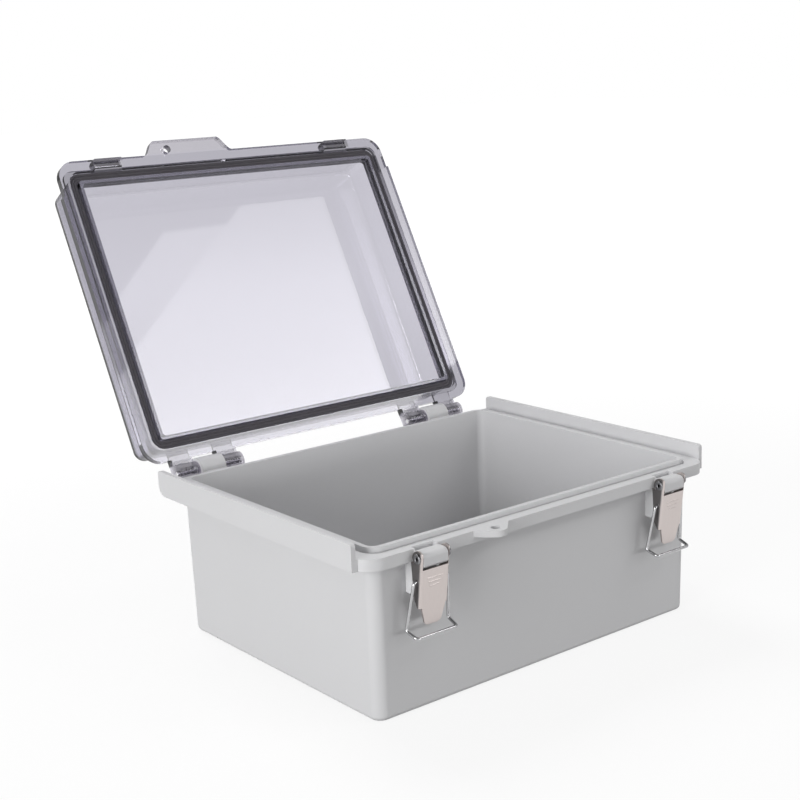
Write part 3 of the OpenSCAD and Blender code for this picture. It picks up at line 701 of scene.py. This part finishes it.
# %% Hinge pins
PIN_EDGE = 0.4 * MM
for side in SIDES:
    low, high = node_box(f"hinge_pin_{side}")
    half = (high[0] - low[0]) / 2
    radius = (high[2] - low[2]) / 2
    profile = np.concatenate([
        [[0, -half]], arc((radius - PIN_EDGE, -half + PIN_EDGE), PIN_EDGE, -90, 0),
        arc((radius - PIN_EDGE, half - PIN_EDGE), PIN_EDGE, 0, 90), [[0, half]],
    ])
    mesh = turned(f"pin_{side}", profile, (low + high) / 2, (1, 0, 0), sides=32)
    add_piece(f"pin_{side}", mesh, "base", "pin_steel", PIN_STEEL, f"hinge_pin_{side}")

# %% [markdown]
# A latch rivet is a tube whose two ends are rolled over. Half of its profile is
# written down, and the other half is the same list backwards with its length turned.


# %% Hollow rivets
RIVET_SHANK = 1.5 * MM
RIVET_BORE = 0.8 * MM
RIVET_HEAD = 0.8 * MM


def rivet_profile(half, head):
    """Bore, rolled end and shank of one half, then the same mirrored and backwards."""
    roll = RIVET_HEAD / 2
    one_end = np.concatenate([
        [[RIVET_BORE, 0], [RIVET_BORE, half - roll]],
        arc((RIVET_BORE + roll, half - roll), roll, 180, 90),
        arc((head - roll, half - roll), roll, 90, -90),
        [[RIVET_SHANK, half - RIVET_HEAD]],
    ])
    return np.concatenate([one_end, (one_end * (1, -1))[::-1]])


for side in SIDES:
    low, high = node_box(f"latch_rivet_{side}")
    profile = rivet_profile((high[0] - low[0]) / 2, (high[2] - low[2]) / 2)
    mesh = turned(f"rivet_{side}", profile, (low + high) / 2, (1, 0, 0), sides=40)
    add_piece(
        f"rivet_{side}", mesh, f"lever_{side}", "pin_steel", RIVET_STEEL,
        f"latch_rivet_{side}",
    )

# %% [markdown]
# ## Wire bails
#
# A bail is one length of wire bent to shape. A curve object with a round bevel could
# make it, but here the line itself is the lesson: straight runs joined by arcs. The
# round section needs two directions across the line at every point. A fixed slanted
# direction is never along any of the runs, so its cross product with the line gives
# the first one with no twist or flip.


# %% A line with rounded corners
def filleted(corners, radius, steps=8):
    """A line through corners with an arc of radius at each inner corner.

    The arc's points turn evenly from its start to its end: each is the start times
    the sine of the turn that is left, plus the end times the sine of the turn done,
    over the sine of the whole turn.
    """
    corners = np.asarray(corners, float)
    pieces = [corners[:1]]
    for before, corner, after in zip(corners[:-2], corners[1:-1], corners[2:]):
        back = (before - corner) / np.linalg.norm(before - corner)
        on = (after - corner) / np.linalg.norm(after - corner)
        half_turn = (math.pi - math.acos(float(back @ on))) / 2
        cut = radius * math.tan(half_turn)
        middle = back + on
        middle /= np.linalg.norm(middle)
        centre = corner + middle * radius / math.cos(half_turn)
        start = corner + back * cut - centre
        t = np.linspace(0, 1, steps + 1)[:, None]
        sweep = 2 * half_turn
        end = corner + on * cut - centre
        pieces.append(
            centre + (np.sin((1 - t) * sweep) * start + np.sin(t * sweep) * end)
            / math.sin(sweep)
        )
    pieces.append(corners[-1:])
    return np.concatenate(pieces)


print("points round one bend:", len(filleted([(0, 0, 0), (1, 0, 0), (1, 1, 0)], 0.1)) - 2)


# %% Wire bails
SLANT = np.array([0.5, 0.62, 0.6])
WIRE = 0.75 * MM
BEND = 1.6 * MM
LEG_OUT = 1.3 * MM
KNEE_OUT, BAR_OUT = 2.5 * MM, 1.9 * MM
PIN_IN = 1.6 * MM
KNEE = np.array([0, 3.5, -22.6]) * MM
BAR = np.array([0, -6.7, -2.1]) * MM


def wire_mesh(name, line, radius, sides=20):
    """A round section carried along a line, with a flat end on each.

    A point is on the line, plus the radius times a direction that goes round it.
    """
    run = np.gradient(line, axis=0)
    run /= np.linalg.norm(run, axis=1)[:, None]
    across = np.cross(run, SLANT)
    across /= np.linalg.norm(across, axis=1)[:, None]
    other = np.cross(run, across)
    t = np.linspace(0, 2 * math.pi, sides, endpoint=False)[None, :, None]
    rings = np.cos(t) * across[:, None] + np.sin(t) * other[:, None]
    tube = line[:, None] + radius * rings
    ends = [np.repeat(line[i][None, None], sides, axis=1) for i in (0, -1)]
    return grid_mesh(name, np.concatenate([ends[0], tube, ends[1]]))


def bail_line(pivot, ear):
    """The wire's middle: pin, leg, knee and crossbar, and the same back on the left."""
    leg = ear + LEG_OUT
    knee = pivot + KNEE
    half_line = [(ear - PIN_IN, pivot), (leg, pivot), (leg + KNEE_OUT, knee),
                 (leg + BAR_OUT, knee + BAR)]
    right = [point + (reach, 0, 0) for reach, point in half_line]
    left = [point - (reach, 0, 0) for reach, point in half_line]
    return filleted(right + left[::-1], BEND)


for side in SIDES:
    pivot = np.array(JOINTS[f"latch_bail_{side}"]["pos_m"])
    lever_low, lever_high = node_box(f"latch_lever_{side}")
    line = bail_line(pivot, (lever_high[0] - lever_low[0]) / 2)
    add_piece(
        f"bail_{side}", wire_mesh(f"bail_{side}", line, WIRE), f"bail_{side}",
        "wire_steel", BRIGHT_WIRE, f"latch_bail_{side}",
    )

# %% [markdown]
# ## Folded and pressed pieces
#
# Sheet metal has the same small radius everywhere, from the press. A lever's ears,
# folds and slots are too many for one formula, so the levers and the rail take the
# same treatment as the mouldings, only finer.

# %% Levers
LEVER_EDGE = 0.22 * MM
for side in SIDES:
    name = f"lever_{side}"
    mesh = merged_copy(f"latch_lever_{side}", name)
    lever = add_piece(
        name, mesh, name, "lever_steel", SATIN_STEEL, f"latch_lever_{side}"
    )
    round_edges(lever, LEVER_EDGE)

# %% [markdown]
# Pressed ribs give the finger a grip and stiffen the plate. Each is a slim turned bar
# with round ends, sunk into the sheet so that only a low crown stands out. Cutting
# them into the sheet's own mesh would look the same and take far more care.

# %% Grip ribs
RIB_RADIUS = 0.5 * MM
RIB_SUNK = 0.32 * MM
RIB_HALVES = np.array([4.2, 3.4, 2.6]) * MM
FIRST_RIB, RIB_STEP = 9.2 * MM, 1.9 * MM
PLATE_OUT = 2.6 * MM
PLATE_LEAN = Matrix.Rotation(math.radians(7), 3, "X")


def grip_rib(name, pivot, row):
    """One rib: a bar with round ends, on the plate, which leans by PLATE_LEAN."""
    down = FIRST_RIB + RIB_STEP * row
    spot = PLATE_LEAN @ Vector((0, RIB_SUNK - PLATE_OUT, -down))
    reach = RIB_HALVES[row]
    profile = np.concatenate([
        arc((0, -reach), RIB_RADIUS, -90, 0), arc((0, reach), RIB_RADIUS, 0, 90),
    ])
    return turned(name, profile, pivot + np.array(spot), (1, 0, 0), sides=24)


for side in SIDES:
    pivot = np.array(JOINTS[f"latch_lever_{side}"]["pos_m"])
    for row in range(len(RIB_HALVES)):
        name = f"rib_{side}_{row + 1}"
        mesh = grip_rib(name, pivot, row)
        add_piece(name, mesh, f"lever_{side}", "lever_steel", SATIN_STEEL)

# %% [markdown]
# The rail is one strip of zinc-plated steel, rolled to a hat section and punched with
# slots. Its solid already has the section and the slots, so only its edges are eased.

# %% Slotted rail
RAIL_EDGE = 0.2 * MM
rail = add_piece(
    "slotted_rail", merged_copy("din_rail", "slotted_rail"),
    "base", "rail_steel", ZINC, "din_rail",
)
round_edges(rail, RAIL_EDGE)


# %% [markdown]
# ## Inserts and screws
#
# A brass insert is knurled so that it can't turn in its post. The teeth could be cut
# one by one with an array, but as a surface the knurl is only a ripple of the radius
# with the angle. It is left out of the groove in the middle and of the two ends.


# %% Knurled inserts
INSERT_BORE = 1.65 * MM
TEETH = 24
TOOTH_DEPTH = 0.12 * MM
# For each step along the insert: how far up, how deep below its skin, and if knurled.
INSERT_STEPS = np.array([
    [0, 0.3, 0], [0.03, 0.05, 0], [0.06, 0, 1], [0.42, 0, 1], [0.44, 0.4, 0],
    [0.56, 0.4, 0], [0.58, 0, 1], [0.94, 0, 1], [0.97, 0.05, 0], [1.0, 0.3, 0],
])


def insert_mesh(name, node):
    """Bored brass insert: its outer radius ripples with angle, outside the groove.

    The ripple is half of one less the cosine of the angle times the number of teeth.
    """
    low, high = node_box(node)
    share, depth, knurled = INSERT_STEPS.T
    skin = (high[0] - low[0]) / 2 - depth * MM
    t = np.linspace(0, 2 * math.pi, 4 * TEETH, endpoint=False)
    ripple = -TOOTH_DEPTH * (1 - np.cos(TEETH * t)) / 2
    outside = skin[:, None] + knurled[:, None] * ripple
    bore = np.full((1, len(t)), INSERT_BORE)
    radius = np.concatenate([bore, outside, bore, bore])
    length = high[2] - low[2]
    height = np.concatenate([low[2:], low[2] + share * length, high[2:], low[2:]])
    x = (low[0] + high[0]) / 2 + radius * np.cos(t)
    y = (low[1] + high[1]) / 2 + radius * np.sin(t)
    z = np.broadcast_to(height[:, None], x.shape)
    return grid_mesh(name, np.stack([x, y, z], axis=-1))


for node in [n for n in frame["nodes"] if "insert" in n]:
    name = node.replace("insert", "brass")
    add_piece(name, insert_mesh(name, node), "base", "brass", BRASS, node)

# %% [markdown]
# A pan-head screw has a low domed head with a cross for the driver. A boolean cut would
# leave long thin faces, so the cross is worked into the height of the head's grid.


# %% Pan-head screws
SCREW_SHANK = 1.59 * MM
SCREW_TIP = 0.3 * MM
RAIL_SHEET = 1.0 * MM
DOME_FALL = 0.28
CROSS_HALF, CROSS_SLOPE = 0.62 * MM, 0.25 * MM
CROSS_REACH, CROSS_RUN_OUT = 2.1 * MM, 0.5 * MM
CROSS_DEPTH = 1.1 * MM


def screw_head(head, rise, t):
    """x, y and height of the head, as rings from its middle to its edge.

    The dome falls with the fourth power of the radius. The cross is the part where
    either x or y is small, and it runs out towards the edge.
    """
    share = np.concatenate([np.linspace(0, 0.9, 22), [0.95, 0.985, 1.0]])[:, None]
    x, y = share * head * np.cos(t), share * head * np.sin(t)
    near = np.minimum(np.abs(x), np.abs(y))
    reach = np.maximum(np.abs(x), np.abs(y))
    groove = np.clip((CROSS_HALF - near) / CROSS_SLOPE, 0, 1)
    groove *= np.clip((CROSS_REACH - reach) / CROSS_RUN_OUT, 0, 1)
    return x, y, rise * (1 - DOME_FALL * share ** 4) - CROSS_DEPTH * groove


def screw_mesh(name, node):
    """Pan head on a plain shank: the head's rings, then the rings under it."""
    low, high = node_box(node)
    head = (high[0] - low[0]) / 2
    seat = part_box("din_rail")[0].z + RAIL_SHEET
    t = np.linspace(0, 2 * math.pi, 72, endpoint=False)
    x, y, height = screw_head(head, high[2] - seat, t)
    under = np.array([
        (head, seat), (SCREW_SHANK, seat), (SCREW_SHANK, low[2] + SCREW_TIP),
        (SCREW_SHANK - SCREW_TIP, low[2]), (0, low[2]),
    ])
    x = np.concatenate([x, under[:, :1] * np.cos(t)]) + (low[0] + high[0]) / 2
    y = np.concatenate([y, under[:, :1] * np.sin(t)]) + (low[1] + high[1]) / 2
    z = np.concatenate([seat + height, under[:, 1:] + 0 * t])
    return grid_mesh(name, np.stack([x, y, z], axis=-1))


for side in SIDES:
    name = f"screw_{side}"
    mesh = screw_mesh(name, f"rail_screw_{side}")
    add_piece(name, mesh, "base", "screw_steel", ZINC, f"rail_screw_{side}")

# %% [markdown]
# ## Studio
#
# The box stands on a white floor under soft light. The floor is white to the eye, in
# reflections and through the lid, but it lights the box only a little, so the greys
# keep their value. A brighter floor would be simpler, but it would light the box from
# below. The white comes from Light Path, which tells what kind of ray has arrived.

# %% White floor
FLOOR_HALF = 6.0
NEAR, FAR = 0.25, 1.3
LIFT_NEAR, LIFT_FAR = 0.84, 0.99


def farther_whiter(tree):
    """Strength that makes up for the lamps' light, which fades away from the box."""
    place = tree.nodes.new("ShaderNodeTexCoord")
    reach = tree.nodes.new("ShaderNodeVectorMath")
    reach.operation = "LENGTH"
    tree.links.new(place.outputs["Object"], reach.inputs[0])
    ends = (NEAR, FAR), (LIFT_NEAR, LIFT_FAR)
    return ramp(tree, reach.outputs["Value"], *ends, kind="SMOOTHSTEP")


def floor_white():
    """Dark to the box, white to the eye, in reflections and through clear pieces."""
    material, tree, shader = new_finish("floor_white")
    shader.inputs["Base Color"].default_value = (0.13, 0.13, 0.13, 1)
    shader.inputs["Roughness"].default_value = 0.9
    shader.inputs["Specular IOR Level"].default_value = 0.1
    shader.inputs["Emission Color"].default_value = (1, 1, 1, 1)
    path = tree.nodes.new("ShaderNodeLightPath").outputs
    seen = calc(tree, "MAXIMUM", path["Is Camera Ray"], path["Is Glossy Ray"])
    seen = calc(tree, "MAXIMUM", seen, path["Is Transmission Ray"])
    lift = calc(tree, "MULTIPLY", seen, farther_whiter(tree))
    tree.links.new(lift, shader.inputs["Emission Strength"])
    return material


def studio_floor():
    """A wide white floor that keeps a soft shadow."""
    mesh = bpy.data.meshes.new("floor")
    corners = np.array([(-1, -1, 0), (1, -1, 0), (1, 1, 0), (-1, 1, 0)]) * FLOOR_HALF
    mesh.from_pydata(corners.tolist(), [], [(0, 1, 2, 3)])
    floor = bpy.data.objects.new("floor", mesh)
    bpy.context.scene.collection.objects.link(floor)
    mesh.materials.append(floor_white())
    floor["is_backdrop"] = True


studio_floor()
print("floor reaches", FLOOR_HALF, "m each way")

# %% [markdown]
# The world is white to the camera. Seen through the lid it is white up to the height
# where a real studio's walls end, and grey above, so that the rim and the knuckles,
# which bend light from overhead, show some dark. To all other rays it is a plain grey
# that lights the box evenly. The height of a direction is the z of Generated.

# %% World
WORLD_LIGHT = 0.41
WALL_ENDS = (0.30, 0.60)
CEILING = 0.28


def studio_world():
    """White to the camera and through the lid, up to the studio's dark ceiling."""
    world = bpy.data.worlds.new("studio")
    bpy.context.scene.world = world
    world.use_nodes = True
    tree = world.node_tree
    background = tree.nodes["Background"]
    background.inputs["Color"].default_value = (1, 1, 1, 1)
    path = tree.nodes.new("ShaderNodeLightPath").outputs
    place = tree.nodes.new("ShaderNodeTexCoord")
    split = tree.nodes.new("ShaderNodeSeparateXYZ")
    tree.links.new(place.outputs["Generated"], split.inputs["Vector"])
    wall = ramp(tree, split.outputs["Z"], WALL_ENDS, (1.0, CEILING), kind="SMOOTHSTEP")
    through = calc(tree, "MULTIPLY", path["Is Transmission Ray"], wall)
    white = calc(tree, "MAXIMUM", path["Is Camera Ray"], through)
    others = calc(tree, "SUBTRACT", 1, path["Is Transmission Ray"])
    plain = calc(tree, "MULTIPLY", WORLD_LIGHT, others)
    strength = calc(tree, "MAXIMUM", white, plain)
    tree.links.new(strength, background.inputs["Strength"])


studio_world()
print("world light on the box:", WORLD_LIGHT)

# %% [markdown]
# Three soft lamps model the box: a strong one on its left, a low one in front, and
# one high behind that lights the rim. Two panels hang high in front of it, to its
# right. They add light inside the box, and their mirror image gives the lid its pale
# shapes. The large panel's light grows towards its front edge, which fades its mirror
# image upwards.


# %% Lamps
def soft_lamp(name, place, aim, size, watts):
    """An area lamp that looks from place towards aim. size is width and height."""
    data = bpy.data.lights.new(name, "AREA")
    data.shape = "RECTANGLE"
    data.size, data.size_y = size
    data.energy = watts
    lamp = bpy.data.objects.new(name, data)
    lamp.location = place
    lamp.rotation_euler = (Vector(aim) - Vector(place)).to_track_quat("-Z", "Y").to_euler()
    bpy.context.scene.collection.objects.link(lamp)


PANEL_TURN = Euler((math.radians(-15.3), math.radians(-6.1), math.radians(-4.4)))
PANEL_CORNER = Vector((0.634, -0.432, 0.95))


def ceiling_panel(name, start, size, watts, near=1.0, far=1.0):
    """A high panel: start is its corner, size its reach to the right and forward.

    start counts from PANEL_CORNER. Its light grows from near times the plain level at
    its rear edge to far times the plain level at its front edge.
    """
    data = bpy.data.lights.new(name, "AREA")
    data.shape = "RECTANGLE"
    data.size, data.size_y = size
    data.energy = watts
    data.use_nodes = True
    tree = data.node_tree
    place = tree.nodes.new("ShaderNodeNewGeometry")
    split = tree.nodes.new("ShaderNodeSeparateXYZ")
    tree.links.new(place.outputs["Parametric"], split.inputs["Vector"])
    level = ramp(tree, split.outputs["Y"], (0, 1), (far, near))
    tree.links.new(level, tree.nodes["Emission"].inputs["Strength"])
    lamp = bpy.data.objects.new(name, data)
    offset = Vector((start[0] + size[0] / 2, start[1] - size[1] / 2, 0))
    offset.rotate(PANEL_TURN)
    lamp.location = PANEL_CORNER + offset
    lamp.rotation_euler = PANEL_TURN
    bpy.context.scene.collection.objects.link(lamp)


soft_lamp("key", (-1.5, -0.30, 0.28), (0, 0, 0.05), (0.8, 0.8), 20.8)
soft_lamp("fill", (0.2, -1.6, 0.13), (0, 0, 0.05), (0.8, 0.22), 4.8)
soft_lamp("back", (0.1, 1.2, 1.5), (0, 0, 0.1), (0.8, 0.8), 18)
ceiling_panel("panel", (0, 0), (1.0, 1.0), 12, 0.35, 1.75)
ceiling_panel("side_panel", (-0.11, -0.055), (0.11, 0.5), 0.26)
print("lamps:", len(bpy.data.lights))

# %% [markdown]
# ## Camera
#
# The camera stands at the left front, a little above the box, and leans by two
# degrees. It could be aimed by a Track To constraint, but the lean is easier to give
# when its three directions are written from the angles.

# %% Camera
CAMERA_PLACE = (-0.4602, -0.5592, 0.2861)
LENS, SENSOR = 66.3, 36
AZIMUTH = math.radians(-38.16)
ELEVATION = math.radians(13.10)
LEAN = math.radians(-2.21)
back = Vector((
    math.sin(AZIMUTH) * math.cos(ELEVATION),
    -math.cos(AZIMUTH) * math.cos(ELEVATION),
    math.sin(ELEVATION),
))
level = Vector((math.cos(AZIMUTH), math.sin(AZIMUTH), 0))
upward = back.cross(level)
right = math.cos(LEAN) * level + math.sin(LEAN) * upward
up = math.cos(LEAN) * upward - math.sin(LEAN) * level
camera_data = bpy.data.cameras.new("camera")
camera_data.lens = LENS
camera_data.sensor_width = SENSOR
camera = bpy.data.objects.new("camera", camera_data)
turn = Matrix((right, up, back)).transposed()
camera.matrix_world = Matrix.Translation(CAMERA_PLACE) @ turn.to_4x4()
bpy.context.scene.collection.objects.link(camera)
bpy.context.scene.camera = camera
bpy.context.scene.view_settings.view_transform = "Standard"
print("camera is", round(Vector(CAMERA_PLACE).length, 2), "m from the origin")

# %% Sizes, and the end
low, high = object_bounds()
print("visual box in mm:", [round(v / MM, 1) for v in high - low])
